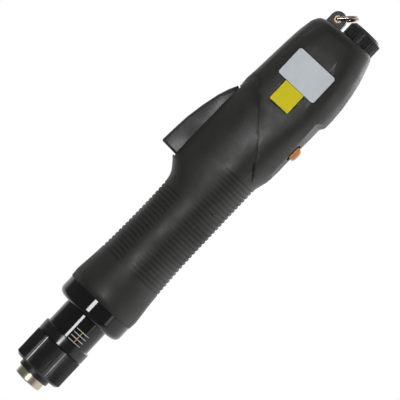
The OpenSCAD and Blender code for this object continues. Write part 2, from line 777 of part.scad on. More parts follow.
module chuck_spring() {
    color([0.7, 0.7, 0.72]) translate([0, 0, chuck_top])
        coil(spindle_r + 2 * run_fit + chuck_wire / 2, chuck_wire, chuck_spring_len, chuck_turns - 1);
}

module chuck_balls() {
    color([0.8, 0.8, 0.82]) for (a = [90, 270]) rotate([0, 0, a])
        translate([spindle_r - chuck_ball_r - 0.1, 0, chuck_ball_z]) sphere(r = chuck_ball_r);
}

module output_spindle() {
    z_spline = z_seat_top + collar_rise + 1;
    color([0.55, 0.55, 0.57]) difference() {
        union() {
            rotate_extrude() polygon([[0, 0], [spindle_r - 0.5, 0], [spindle_r, 0.5],
                [spindle_r, z_spline], [0, z_spline]]);
            translate([0, 0, z_spline - eps]) cylinder(r = spline_af / 2 / cos(30),
                h = z_drive - slot_gap - z_spline + eps, $fn = 6);
            cylinder(r = pilot_r, h = z_drive + drive_plate_t);
        }
        translate([0, 0, -1]) cylinder(r = hex_r, h = socket_depth + 1, $fn = 6);
        for (a = [90, 270]) rotate([0, 0, a]) translate([0, 0, chuck_ball_z])
            rotate([0, 90, 0]) cylinder(r = chuck_ball_r + run_fit, h = 20);
        for (z = [clip_low(), z_clip]) translate([0, 0, z])
            ring_shape(20, spindle_r - clip_groove, clip_t);
    }
}

module spring_seat() {
    color([0.5, 0.5, 0.52]) rotate_extrude() polygon([
        [seat_bore_r, z_seat], [chamber_r - run_fit, z_seat], [chamber_r - run_fit, z_seat_top],
        [spindle_bush_r, z_seat_top], [spindle_bush_r, z_seat_top - seat_floor],
        [seat_bore_r, z_seat_top - seat_floor]]);
}

module spindle_bush() {
    color([0.72, 0.52, 0.28]) translate([0, 0, z_seat_top - seat_floor])
        ring_shape(spindle_bush_r, spindle_r + run_fit, seat_floor);
}

// ---------- Clutch ----------

module clutch_spring() {
    color([0.6, 0.6, 0.62]) translate([0, 0, z_seat_top])
        coil(chamber_r - 0.5 - clutch_wire / 2, clutch_wire, z_cam - z_seat_top, clutch_turns - 1);
}

module ball_row(z, r) {
    // Between the corners of the spindle's six sides
    for (i = [0 : 2]) rotate([0, 0, 30 + 120 * i]) translate([clutch_ball_pcr, 0, z]) sphere(r = r);
}

module clutch_cam() {
    color([0.5, 0.5, 0.5]) difference() {
        translate([0, 0, z_cam]) cylinder(r = chamber_r - 0.2, h = cam_t);
        translate([0, 0, z_cam - 1])
            cylinder(r = spline_af / 2 / cos(30) + run_fit, h = cam_t + 2, $fn = 6);
        ball_row(z_drive - clutch_ball_r + clutch_pocket, clutch_ball_r + run_fit);
    }
}

module clutch_balls() {
    color([0.8, 0.8, 0.82]) ball_row(z_drive - clutch_ball_r + clutch_pocket, clutch_ball_r);
}

module drive_plate() {
    color([0.5, 0.5, 0.52]) difference() {
        union() {
            translate([0, 0, z_drive]) cylinder(r = drive_plate_r, h = drive_plate_t);
            translate([0, 0, z_drive + 1]) cylinder(r = spindle_r, h = z_carrier - z_drive - 1);
            translate([0, 0, z_carrier - eps])
                cylinder(r = spline_af / 2, h = carrier_t + eps, $fn = 6);
        }
        translate([0, 0, z_drive - 1]) cylinder(r = pilot_r + run_fit, h = drive_plate_t + 3);
        ball_row(z_drive - clutch_ball_r + clutch_pocket, clutch_ball_r + run_fit);
    }
}

// ---------- Gears ----------

module spindle_bearing() {
    color([0.68, 0.68, 0.7]) rolling_bearing(spindle_r + 0.02, bearing_r, bearing_w, z_bearing, 12);
}

// Ball bearing as two races and its balls
module rolling_bearing(bore_r, out_r, w, z, balls) {
    mid_r = (bore_r + out_r) / 2;
    ball_r = (out_r - bore_r) / 3.4;
    translate([0, 0, z]) {
        difference() {
            union() {
                ring_shape(mid_r - ball_r * 0.55, bore_r, w);
                ring_shape(out_r, mid_r + ball_r * 0.55, w);
            }
            translate([0, 0, w / 2]) rotate_extrude() translate([mid_r, 0])
                circle(r = ball_r + 0.02);
        }
        for (i = [0 : balls - 1]) rotate([0, 0, 360 * i / balls])
            translate([mid_r, 0, w / 2]) sphere(r = ball_r);
    }
}

module planet_carrier() {
    color([0.55, 0.55, 0.57]) difference() {
        translate([0, 0, z_carrier]) cylinder(r = carrier_r, h = carrier_t);
        translate([0, 0, z_carrier - 1]) cylinder(r = spline_af / 2 + run_fit, h = carrier_t + 2, $fn = 6);
        for (i = [0 : 2]) rotate([0, 0, 90 + 120 * i]) translate([planet_pcr, 0, z_carrier - 1])
            cylinder(r = planet_pin_r, h = carrier_t + 2);
    }
}

module planet_pins() {
    color([0.7, 0.7, 0.72]) for (i = [0 : 2]) rotate([0, 0, 90 + 120 * i])
        translate([planet_pcr, 0, z_carrier])
            cylinder(r = planet_pin_r, h = z_gears + gear_w - z_carrier);
}

module planet_gear(i) {
    at = 90 + 120 * i;
    color([0.62, 0.62, 0.6]) rotate([0, 0, at]) translate([planet_pcr, 0, z_gears])
        difference() {
            rotate([0, 0, 180 + 180 / planet_teeth]) linear_extrude(gear_w)
                polygon(gear_outline(planet_teeth, 0.8, 1.05, 0.09));
            translate([0, 0, -1]) cylinder(r = planet_pin_r + run_fit, h = gear_w + 2);
        }
}

module sun_gear() {
    color([0.62, 0.6, 0.55]) translate([0, 0, z_gears]) difference() {
        linear_extrude(gear_w) polygon(gear_outline(sun_teeth, 0.8, 1.05, 0.09));
        translate([0, 0, -1]) cylinder(r = sun_bore_r, h = gear_w + 2);
    }
}

sun_bore_r = 1.5;

module ring_gear() {
    color([0.5, 0.5, 0.5]) translate([0, 0, z_cup]) difference() {
        cylinder(r = ring_gear_r, h = z_gear_cover - z_cup);
        translate([0, 0, -1]) rotate([0, 0, 180 / ring_teeth])
            linear_extrude(z_gear_cover - z_cup + 2)
                polygon(gear_outline(ring_teeth, 1.05, 0.8, -0.09));
    }
}

module gear_cover() {
    color([0.6, 0.6, 0.62]) translate([0, 0, z_gear_cover])
        ring_shape(cup_r, shaft_r + 1, gear_cover_t);
}

// ---------- Motor ----------

module motor_can() {
    color([0.3, 0.3, 0.32]) translate([0, 0, z_motor]) difference() {
        union() {
            ring_shape(motor_r, motor_r - can_wall, motor_len - 3);
            ring_shape(motor_r, motor_bearing_r - 1.5, 1.5);
            ring_shape(motor_bearing_r + 1.5, motor_bearing_r, 1.5 + motor_bearing_w);
        }
    }
}

module motor_end_cap() {
    cap_z = z_motor_top - 3;
    color([0.62, 0.62, 0.64]) translate([0, 0, cap_z]) {
        ring_shape(motor_r, motor_bearing_r - 1.5, 3);
        translate([0, 0, -motor_bearing_w])
            ring_shape(motor_bearing_r + 1.5, motor_bearing_r, motor_bearing_w + 1);
    }
}

module motor_bearings() {
    color([0.7, 0.7, 0.72]) for (z = [z_motor + 1.5, z_motor_top - 3 - motor_bearing_w])
        rolling_bearing(shaft_r + 0.02, motor_bearing_r, motor_bearing_w, z, 8);
}

module motor_stator() {
    yoke_r = motor_r - can_wall - 2.6;
    bore = rotor_r + air_gap;
    color([0.42, 0.42, 0.44]) translate([0, 0, z_stack]) linear_extrude(stack_len) {
        difference() {
            circle(r = motor_r - can_wall);
            circle(r = yoke_r);
        }
        for (i = [0 : stator_teeth - 1]) rotate(360 * i / stator_teeth) difference() {
            union() {
                translate([bore - 1, -1.3]) square([yoke_r - bore + 1.4, 2.6]);
                translate([bore - 1, -2.5]) square([2, 5]);
            }
            rotate(-360 * i / stator_teeth) circle(r = bore);
        }
    }
}

module motor_windings() {
    yoke_r = motor_r - can_wall - 2.6;
    inner = rotor_r + air_gap + 1.3;
    color([0.75, 0.42, 0.2]) for (i = [0 : stator_teeth - 1])
        rotate([0, 0, 360 * i / stator_teeth]) translate([inner, 0, z_stack + stack_len / 2])
            rotate([0, 90, 0]) linear_extrude(yoke_r - inner - slot_gap) difference() {
                square([stack_len + 6, 5], center = true);
                square([stack_len + 0.1, 2.7], center = true);
            }
}

module motor_shaft() {
    z_end = z_motor_top + 2;
    color([0.72, 0.72, 0.74]) union() {
        translate([0, 0, z_gears]) cylinder(r = sun_bore_r, h = gear_w + 1);
        translate([0, 0, z_gears + gear_w]) cylinder(r = shaft_r, h = z_end - z_gears - gear_w);
    }
}

module motor_rotor() {
    color([0.2, 0.2, 0.22]) translate([0, 0, z_stack + 1])
        ring_shape(rotor_r, shaft_r, stack_len - 2);
}

// ---------- Electronics ----------

module controller_board() {
    color([0.1, 0.35, 0.16]) translate([-board_w / 2, board_y, board_z])
        cube([board_w, board_t, board_len]);
}

module board_parts() {
    color([0.12, 0.12, 0.13]) {
        for (i = [0 : 5]) translate([-7.5 + 5.2 * (i % 3), board_y - 2.3, z_lever + 28 + 9 * floor(i / 3)])
            cube([4, 2.3, 6]);
        translate([-5, board_y - 1.4, z_lever + 54]) cube([9, 1.4, 9]);
        translate([0, board_y, z_lever + 6]) rotate([90, 0, 0]) cylinder(r = 4.5, h = 11);
        translate([0, board_y, z_lever + 18]) rotate([90, 0, 0]) cylinder(r = 4.5, h = 11);
    }
}

module start_switch() {
    color([0.1, 0.1, 0.11]) difference() {
        union() {
            translate([switch_x, -switch_w / 2, start_z - 10]) cube([9.2, switch_w, 20]);
            // Bracket that backs the lever's spring
            translate([spring_in_x, -switch_w / 2, start_z + 9.9])
                cube([switch_x + 9.2 - spring_in_x, switch_w, spring_z() + 4.5 - start_z - 9.9]);
        }
        translate([switch_x - 1, 0, start_z]) rotate([0, 90, 0])
            cylinder(r = plunger_r + run_fit, h = 1 + plunger_stub + plunger_travel + 0.5);
    }
}

module start_plunger() {
    color([0.75, 0.2, 0.15]) translate([switch_x - plunger_travel - 0.4, 0, start_z])
        rotate([0, 90, 0]) cylinder(r = plunger_r, h = plunger_travel + 0.4 + plunger_stub);
}

module lever_pin() {
    color([0.7, 0.7, 0.72]) cross_bar(-lever_pin_x, z_pin, lever_pin_r, pin_len());
}

// Side outline of the lever, given in x and z; inset shrinks it all round
module lever_outline(inset) {
    offset(delta = -inset) polygon([
        [-24.4, z_lever], [-lever_out + 0.6, z_lever + 0.5], [-lever_out, z_lever + 1.4],
        [-lever_out + 0.5, z_lever + 10], [-lever_out + 1.3, z_lever + 20],
        [-lever_out + 3.2, z_lever + 31], [-lever_out + 5.6, z_lever + 41],
        [-lever_out + 8, z_lever + 47.6], [-lever_out + 10.4, z_lever + lever_len],
        [-lever_pin_x - 2.2, z_lever + lever_len - 4.4], [-23.2, z_lever + 20]]);
}

module lever() {
    hub_r = lever_pin_r + 1.35;
    color([0.2, 0.21, 0.21]) difference() {
        union() {
            hull() {
                upright(lever_w - 2 * lever_round) lever_outline(0);
                upright(lever_w - 0.8 * lever_round) lever_outline(lever_round * 0.35);
                upright(lever_w) lever_outline(lever_round);
            }
            // Arm up to the hub
            hull() {
                cross_bar(-lever_pin_x, z_pin, hub_r, lever_hub_w, $fn = 32);
                cross_bar(-lever_pin_x - 1.5, z_pin - 9, 3, lever_hub_w, $fn = 32);
            }
            // Lip that stops the lever behind the edge of its slot
            translate([lip_x() - 2, -4, z_lever + 0.2]) cube([4, 8, 4]);
            translate([lip_x(), -4, z_lever - 2.6]) cube([2, 8, 6]);
            // Nib over the start switch's plunger
            translate([-24, -2, start_z - 2]) cube([24 - nib_x(), 4, 4]);
        }
        cross_bar(-lever_pin_x, z_pin, lever_pin_r + run_fit, lever_w + 2);
        translate([spring_out_x() - 3, 0, spring_z()]) rotate([0, 90, 0])
            cylinder(r = spring_pocket_r, h = 6);
    }
}

function lip_x() = wall + 2.5 - lever_reach;
function nib_x() = plunger_travel + 0.4 + slot_gap - switch_x;
function spring_z() = z_lever + 34;
function spring_out_x() = -lever_pin_x - 3.2;
spring_pocket_r = 3;
spring_in_x = -13.9;

module lever_spring() {
    color([0.7, 0.7, 0.72]) translate([spring_in_x, 0, spring_z()]) rotate([0, -90, 0])
        coil(spring_pocket_r - 0.3 - lever_wire / 2, lever_wire, spring_in_x - spring_out_x() + 3,
            5, 4, 12);
}

module reverse_switch() {
    color([0.1, 0.1, 0.11])
    translate([knob_switch_x - knob_switch_deep, -switch_w / 2, z_knob - knob_switch_len / 2])
    difference() {
        cube([knob_switch_deep, switch_w, knob_switch_len]);
        translate([knob_switch_deep - 2.4, 2, knob_switch_len / 2 - 1.5 - knob_travel - slot_gap])
            cube([3, switch_w - 4, 3 + 2 * (knob_travel + slot_gap)]);
    }
}

module reverse_knob() {
    w = knob_w;
    color([0.95, 0.55, 0.2]) union() {
        translate([0, 0, z_knob]) hull() {
            translate([knob_flat + slot_gap, -w / 2, -knob_h / 2]) cube([1.4, w, knob_h]);
            translate([knob_flat + slot_gap, -w / 2 + 1, -knob_h / 2 + 1.2])
                cube([knob_out - slot_gap - 0.4, w - 2, knob_h - 2.4]);
            translate([knob_flat + slot_gap, -w / 2 + 2, -knob_h / 2 + 2.4])
                cube([knob_out - slot_gap, w - 4, knob_h - 4.8]);
        }
        translate([knob_switch_x + slot_gap, -w / 2 + 2, z_knob - knob_h / 2 + 1])
            cube([knob_flat - knob_switch_x + eps, w - 4, knob_h - 2]);
        translate([knob_switch_x - 1.4, -1.5, z_knob - 1.5]) cube([3, 3, 3]);
    }
}

// ---------- Cable inlet ----------

module inlet_body() {
    z_low = z_top - 20;
    z_high = z_top + inlet_ring_h - 0.6;
    color([0.12, 0.12, 0.13]) translate([inlet_x, 0, 0]) difference() {
        rotate_extrude() polygon([
            [0, z_low], [inlet_r - 2, z_low], [inlet_r - 2, z_top - 17 + eps],
            [inlet_r, z_top - 17 + eps], [inlet_r, z_high], [inlet_r - inlet_wall, z_high],
            [inlet_r - inlet_wall, z_high - inlet_mouth], [0, z_high - inlet_mouth]]);
        for (i = [0 : inlet_pins - 1]) rotate([0, 0, 360 * i / inlet_pins])
            translate([4.2, 0, z_low - 1]) cylinder(r = 0.6, h = 60);
    }
}

module inlet_contacts() {
    z_low = z_top - 23;
    z_high = z_top + inlet_ring_h - 0.6 - inlet_mouth + 3;
    color([0.85, 0.7, 0.35]) translate([inlet_x, 0, z_low])
        for (i = [0 : inlet_pins - 1]) rotate([0, 0, 360 * i / inlet_pins])
            translate([4.2, 0, 0]) cylinder(r = 0.6, h = z_high - z_low, $fn = 24);
}

module connector_ring() {
    z_low = z_top + 0.3 + slot_gap;
    h = z_top + inlet_ring_h - z_low;
    rib = 360 / inlet_ribs;
    outline = [for (i = [0 : inlet_ribs - 1]) each [
        inlet_ring_r * dir(rib * i), inlet_ring_r * dir(rib * (i + 0.5)),
        (inlet_ring_r - 0.5) * dir(rib * (i + 0.6)), (inlet_ring_r - 0.5) * dir(rib * (i + 0.9))]];
    color([0.06, 0.06, 0.06]) translate([inlet_x, 0, z_low]) intersection() {
        rotate_extrude() polygon([[inlet_r + run_fit, 0], [inlet_ring_r, 0],
            [inlet_ring_r, h - 1.8], [inlet_ring_r - 1.8, h], [inlet_r + run_fit, h]]);
        translate([0, 0, -1]) linear_extrude(h + 2) polygon(outline);
    }
}

// ---------- Hanger ----------

z_eye = z_top - 1 + eye_rise;
z_foot = z_top - wall - top_slope * (eye_x + lug_r + 1.5) - seat_fit;

module hanger_lug() {
    color([0.1, 0.1, 0.1]) difference() {
        union() {
            cross_bar(-eye_x, z_eye, lug_r, lug_t);
            translate([-eye_x - lug_r, -lug_t / 2, z_foot]) cube([2 * lug_r, lug_t, z_eye - z_foot]);
            // Foot under the top of the housing
            translate([-eye_x - lug_r - 1.5, -lug_t / 2 - 1.5, z_foot - 1.6])
                cube([2 * lug_r + 3, lug_t + 3, 1.6 + eps]);
        }
        cross_bar(-eye_x, z_eye, eyelet_r - 0.5, lug_t + 2);
    }
}

module hanger_eyelet() {
    color([0.8, 0.78, 0.72]) difference() {
        union() {
            cross_bar(-eye_x, z_eye, eyelet_r - 0.5, lug_t + 0.6);
            for (s = [-1, 1]) translate([0, s * (lug_t / 2 + 0.15), 0])
                cross_bar(-eye_x, z_eye, eyelet_r, 0.3);
        }
        cross_bar(-eye_x, z_eye, bail_wire_r + run_fit, lug_t + 2);
    }
}

// Closed wire loop: a bar through the eye, two legs and a round top, leaning over at rest
module hanger_bail() {
    half = lug_t / 2 + 0.9 + bail_wire_r;
    arm = bail_reach - half;
    color([0.75, 0.68, 0.6]) translate([-eye_x, 0, z_eye]) rotate([0, bail_lean, 0]) {
        cross_bar(0, 0, bail_wire_r, 2 * half);
        for (s = [-1, 1]) translate([0, s * half, 0]) {
            sphere(r = bail_wire_r);
            cylinder(r = bail_wire_r, h = arm);
        }
        translate([0, 0, arm]) rotate([90, 0, 90]) rotate_extrude(angle = 180)
            translate([half, 0]) circle(r = bail_wire_r);
    }
}

// ---------- Plates ----------

module rounded_plate(w, h, corner) {
    translate([0, -head_depth + plate_seat, 0]) rotate([90, 0, 0]) linear_extrude(plate_t)
        translate([-w / 2, 0]) hull() for (x = [corner, w - corner], z = [corner, h - corner])
            translate([x, z]) circle(r = corner, $fn = 32);
}

module nameplate() {
    color([0.84, 0.87, 0.88]) translate([0, 0, z_plate]) rounded_plate(plate_w, plate_h, plate_corner);
}

module accent_plate() {
    color([0.94, 0.88, 0.12]) translate([0, 0, z_plate - accent_side - 0.2])
        rounded_plate(accent_side, accent_side, 0.4);
}

// ---------- Assembly ----------

housing_front();
housing_back();
housing_screws();
coupling_ring();
scale_sleeve();
torque_collar();
lock_ring();
nose_bush();
chuck_sleeve();
chuck_spring();
chuck_balls();
spindle_clips();
output_spindle();
spring_seat();
spindle_bush();
clutch_spring();
clutch_cam();
clutch_balls();
drive_plate();
spindle_bearing();
planet_carrier();
planet_pins();
planet_gear(0);  // planet_gear_1
planet_gear(1);  // planet_gear_2
planet_gear(2);  // planet_gear_3
sun_gear();
ring_gear();
gear_cover();
motor_can();
motor_end_cap();
motor_stator();
motor_windings();
motor_rotor();
motor_shaft();
motor_bearings();
controller_board();
board_parts();
start_switch();
start_plunger();
lever();
lever_pin();
lever_spring();
reverse_switch();
reverse_knob();
inlet_body();
inlet_contacts();
connector_ring();
hanger_lug();
hanger_eyelet();
hanger_bail();
nameplate();
accent_plate();
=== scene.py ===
"""Looks of an electric torque screwdriver: its finishes, fine pieces, lights and camera.

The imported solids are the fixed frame. Solids that don't show keep their mesh and get a finish.
Those that show are replaced by a merged, smoothed copy, and round ones by their own profile
turned with more steps. Printed marks are added as thin pieces.
"""

from __future__ import annotations

import json
import logging
import math
from dataclasses import dataclass, field
from enum import Enum
from typing import Any, Callable, Sequence

import bmesh
import bpy
from mathutils import Matrix, Vector

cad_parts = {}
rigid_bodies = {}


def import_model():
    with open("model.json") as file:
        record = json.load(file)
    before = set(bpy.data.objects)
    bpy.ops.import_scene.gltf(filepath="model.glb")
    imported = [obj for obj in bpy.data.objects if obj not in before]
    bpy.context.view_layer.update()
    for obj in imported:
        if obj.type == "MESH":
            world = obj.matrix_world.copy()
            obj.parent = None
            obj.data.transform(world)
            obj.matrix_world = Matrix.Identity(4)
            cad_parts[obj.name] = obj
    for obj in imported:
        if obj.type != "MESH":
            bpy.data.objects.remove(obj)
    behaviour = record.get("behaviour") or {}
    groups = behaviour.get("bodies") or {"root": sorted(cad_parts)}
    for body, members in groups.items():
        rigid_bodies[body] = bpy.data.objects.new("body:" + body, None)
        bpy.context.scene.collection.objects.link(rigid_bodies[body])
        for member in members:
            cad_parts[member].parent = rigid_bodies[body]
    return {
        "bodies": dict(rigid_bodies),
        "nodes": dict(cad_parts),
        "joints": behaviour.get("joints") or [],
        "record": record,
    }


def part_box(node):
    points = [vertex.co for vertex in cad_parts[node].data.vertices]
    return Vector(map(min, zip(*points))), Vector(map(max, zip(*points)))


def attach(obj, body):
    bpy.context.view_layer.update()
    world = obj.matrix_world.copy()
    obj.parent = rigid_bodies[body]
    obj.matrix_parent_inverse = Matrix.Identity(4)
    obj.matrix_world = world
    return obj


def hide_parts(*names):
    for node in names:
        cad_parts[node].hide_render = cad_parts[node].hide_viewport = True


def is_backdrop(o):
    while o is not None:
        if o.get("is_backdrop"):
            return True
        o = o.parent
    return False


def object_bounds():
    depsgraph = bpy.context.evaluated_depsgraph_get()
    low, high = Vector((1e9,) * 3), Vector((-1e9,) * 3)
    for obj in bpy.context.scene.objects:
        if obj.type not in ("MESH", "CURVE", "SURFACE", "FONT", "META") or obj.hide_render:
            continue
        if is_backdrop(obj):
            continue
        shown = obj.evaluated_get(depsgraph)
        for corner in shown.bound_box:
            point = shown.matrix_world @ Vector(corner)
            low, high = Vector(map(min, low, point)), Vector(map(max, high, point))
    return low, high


LOG = logging.getLogger("screwdriver")
MM = 0.001
# Vertices closer than this are merged
WELD = 0.002 * MM
# How far from a cutting plane a vertex still counts as on it
ON_PLANE = 0.001 * MM
# Faces that lean less than this to each other are joined before their edges are rounded
FLAT_DEGREES = 0.4
# Faces across a rounded edge
ROUND_STEPS = 2
# How much more large faces count than small ones in the smoothed normals
LARGE_FACE_WEIGHT = 100
# Reach of the occlusion that paints shade into the sheen of grooves and creases
PAINTED_SHADE_REACH = 1.6 * MM

Colour = tuple[float, float, float]


# ---------- Shader effects shared by the finishes ----------


class Effect(Enum):
    """Shader node groups that more than one finish uses."""

    GRAIN = "moulded_grain"
    HANDLING = "handling_marks"
    TURNING = "turning_lines"
    BRUSHING = "brushing_lines"


class Graph:
    """Adds nodes and links to one node tree."""

    def __init__(self, tree: bpy.types.NodeTree) -> None:
        """Starts on a tree.

        Args:
            tree: The material's, world's or group's node tree.
        """
        self.tree = tree

    def add(self, kind: str, **settings: Any) -> bpy.types.Node:
        """Adds a node and sets its properties.

        Args:
            kind: The node's type name without "ShaderNode".
            settings: Properties of the node, such as operation.

        Returns:
            The new node.
        """
        node = self.tree.nodes.new("ShaderNode" + kind)
        for key, value in settings.items():
            setattr(node, key, value)
        return node

    def put(self, socket: bpy.types.NodeSocket, value: Any) -> None:
        """Links a socket to another, or sets its value."""
        if isinstance(value, bpy.types.NodeSocket):
            self.tree.links.new(value, socket)
        else:
            socket.default_value = value

    def math(self, operation: str, first: Any, second: Any) -> bpy.types.NodeSocket:
        """Adds a Math node.

        Args:
            operation: The node's operation, such as MULTIPLY.
            first: Number or socket.
            second: Number or socket.

        Returns:
            The node's output.
        """
        node = self.add("Math", operation=operation)
        self.put(node.inputs[0], first)
        self.put(node.inputs[1], second)
        return node.outputs[0]

    def noise(self, vector: Any, scale: float, detail: float) -> bpy.types.NodeSocket:
        """Adds a noise texture.

        Args:
            vector: Socket with the coordinates.
            scale: Features to a metre.
            detail: Octaves.

        Returns:
            The noise's value, about 0.5 in the middle.
        """
        node = self.add("TexNoise")
        self.put(node.inputs["Vector"], vector)
        self.put(node.inputs["Scale"], scale)
        self.put(node.inputs["Detail"], detail)
        return node.outputs["Fac"]

    def stretched(self, scale: Sequence[float]) -> bpy.types.NodeSocket:
        """Gives object coordinates scaled apart along the three axes.

        Args:
            scale: Factor along X, Y and Z.

        Returns:
            The scaled coordinates.
        """
        place = self.add("TexCoord")
        mapping = self.add("Mapping")
        self.put(mapping.inputs["Vector"], place.outputs["Object"])
        self.put(mapping.inputs["Scale"], tuple(scale))
        return mapping.outputs["Vector"]

    def ramp(
        self, value: Any, low: float, high: float, out: tuple[float, float]
    ) -> bpy.types.NodeSocket:
        """Maps a value from one range to another.

        Args:
            value: Socket or number.
            low: Lower end of the value's range.
            high: Upper end of the value's range.
            out: The two ends of the result.

        Returns:
            The mapped value.
        """
        node = self.add("MapRange")
        self.put(node.inputs["Value"], value)
        self.put(node.inputs["From Min"], low)
        self.put(node.inputs["From Max"], high)
        self.put(node.inputs["To Min"], out[0])
        self.put(node.inputs["To Max"], out[1])
        return node.outputs["Result"]

    def bump(self, height: Any, depth: Any, under: Any = None) -> bpy.types.NodeSocket:
        """Turns a height into a normal.

        Args:
            height: Socket with the height from 0 to 1.
            depth: Depth in metres, as a number or a socket.
            under: Normal that the bump is laid on.

        Returns:
            The bumped normal.
        """
        node = self.add("Bump")
        self.put(node.inputs["Height"], height)
        self.put(node.inputs["Distance"], depth)
        if under is not None:
            self.put(node.inputs["Normal"], under)
        return node.outputs["Normal"]


class EffectLibrary:
    """Makes each shared node group once."""

    def __init__(self) -> None:
        """Starts with no groups."""
        self._trees: dict[Effect, bpy.types.NodeTree] = {}
        self._makers: dict[Effect, Callable[[], bpy.types.NodeTree]] = {
            Effect.GRAIN: self._grain,
            Effect.HANDLING: self._handling,
            Effect.TURNING: self._turning,
            Effect.BRUSHING: self._brushing,
        }

    def use(self, graph: Graph, effect: Effect, **inputs: Any) -> bpy.types.Node:
        """Puts an effect into a material.

        Args:
            graph: The material's graph.
            effect: Which group.
            inputs: Values or sockets for the group's inputs.

        Returns:
            The group node.
        """
        if effect not in self._trees:
            self._trees[effect] = self._makers[effect]()
        node = graph.add("Group")
        node.node_tree = self._trees[effect]
        for key, value in inputs.items():
            graph.put(node.inputs[key.replace("_", " ").capitalize()], value)
        return node

    @staticmethod
    def _open(effect: Effect, takes: Sequence[str], gives: Sequence[str]) -> tuple[Graph, Any, Any]:
        """Opens a new group.

        Args:
            effect: The group's name.
            takes: Names of its inputs, numbers all.
            gives: Names of its outputs. Normal is a vector, the rest are numbers.

        Returns:
            The graph, the group's input node and its output node.
        """
        tree = bpy.data.node_groups.new(effect.value, "ShaderNodeTree")
        for name in takes:
            tree.interface.new_socket(name, in_out="INPUT", socket_type="NodeSocketFloat")
        for name in gives:
            kind = "NodeSocketVector" if name == "Normal" else "NodeSocketFloat"
            tree.interface.new_socket(name, in_out="OUTPUT", socket_type=kind)
        return Graph(tree), tree.nodes.new("NodeGroupInput"), tree.nodes.new("NodeGroupOutput")

    def _grain(self) -> bpy.types.NodeTree:
        """Fine spark-eroded texture of a moulding: a normal and a height."""
        graph, takes, gives = self._open(Effect.GRAIN, ["Fineness", "Depth"], ["Normal", "Height"])
        place = graph.add("TexCoord").outputs["Object"]
        fine = graph.add("TexNoise")
        graph.put(fine.inputs["Vector"], place)
        graph.put(fine.inputs["Scale"], takes.outputs["Fineness"])
        graph.put(fine.inputs["Detail"], 3.0)
        cells = graph.add("TexVoronoi")
        graph.put(cells.inputs["Vector"], place)
        graph.put(cells.inputs["Scale"], graph.math("MULTIPLY", takes.outputs["Fineness"], 0.7))
        height = graph.math(
            "ADD", fine.outputs["Fac"], graph.math("MULTIPLY", cells.outputs["Distance"], 0.5)
        )
        graph.put(gives.inputs["Height"], height)
        graph.put(gives.inputs["Normal"], graph.bump(height, takes.outputs["Depth"]))
        return graph.tree

    def _handling(self) -> bpy.types.NodeTree:
        """Slow and fine changes of sheen from hands and dust: a value about 0, and specks."""
        graph, takes, gives = self._open(Effect.HANDLING, ["Amount"], ["Shift", "Specks"])
        place = graph.add("TexCoord").outputs["Object"]
        slow = graph.ramp(graph.noise(place, 45.0, 4.0), 0.3, 0.7, (-1.0, 1.0))
        graph.put(gives.inputs["Shift"], graph.math("MULTIPLY", slow, takes.outputs["Amount"]))
        dust = graph.ramp(graph.noise(place, 1500.0, 1.0), 0.74, 0.8, (0.0, 1.0))
        graph.put(gives.inputs["Specks"], graph.math("MULTIPLY", dust, takes.outputs["Amount"]))
        return graph.tree

    def _turning(self) -> bpy.types.NodeTree:
        """Fine lines round a turned piece: a normal and a shift."""
        graph, takes, gives = self._open(Effect.TURNING, ["Depth"], ["Normal", "Shift"])
        lines = graph.noise(graph.stretched((30.0, 30.0, 5200.0)), 1.0, 3.0)
        graph.put(gives.inputs["Normal"], graph.bump(lines, takes.outputs["Depth"]))
        graph.put(gives.inputs["Shift"], graph.ramp(lines, 0.3, 0.7, (-1.0, 1.0)))
        return graph.tree

    def _brushing(self) -> bpy.types.NodeTree:
        """Fine lines along X on a rolled or brushed plate: a normal and a shift."""
        graph, takes, gives = self._open(Effect.BRUSHING, ["Depth"], ["Normal", "Shift"])
        lines = graph.noise(graph.stretched((60.0, 4000.0, 4000.0)), 1.0, 2.0)
        graph.put(gives.inputs["Normal"], graph.bump(lines, takes.outputs["Depth"]))
        graph.put(gives.inputs["Shift"], graph.ramp(lines, 0.3, 0.7, (-1.0, 1.0)))
        return graph.tree


# ---------- Finishes ----------


class Surface(Enum):
    """How a finish's fine relief is made."""

    MOULDED = Effect.GRAIN
    TURNED = Effect.TURNING
    BRUSHED = Effect.BRUSHING


